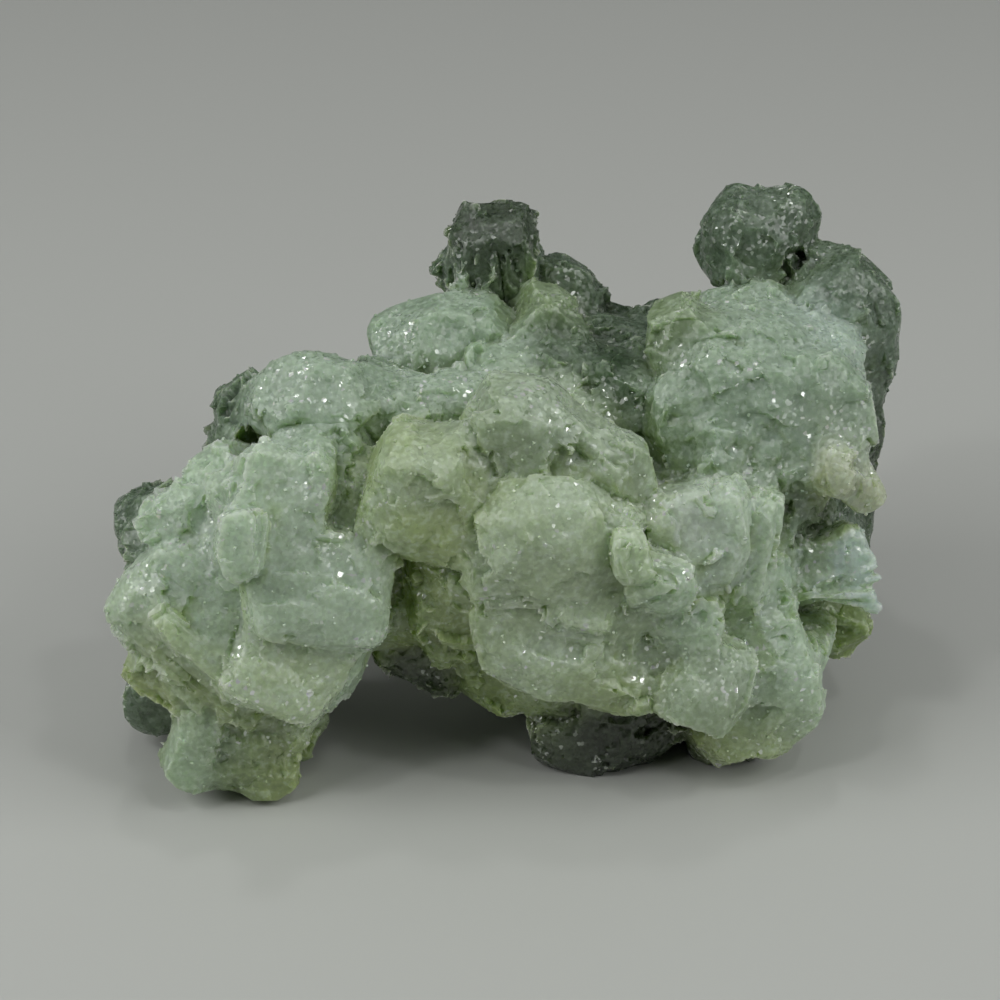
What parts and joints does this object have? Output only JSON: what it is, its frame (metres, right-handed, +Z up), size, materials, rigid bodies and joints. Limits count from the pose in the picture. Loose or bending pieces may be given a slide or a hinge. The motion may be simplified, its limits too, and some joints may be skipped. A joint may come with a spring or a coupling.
{
  "type": "prehnite cluster",
  "caption": "Natural mass of pale green prehnite: rounded knobs of grown-together crystals with a low arch between its feet.",
  "frame": {"origin": "on the resting plane, under the middle of the cluster's box", "axes": "+X to the right along the longest side, +Y to the back, +Z up"},
  "size_m": [0.0686, 0.0427, 0.0421],
  "materials": {
    "prehnite": "waxy to glassy, cloudy, fine crystal faces"
  },
  "bodies": {
    "root": {"prehnite_cluster": "prehnite"}
  },
  "joints": []
}
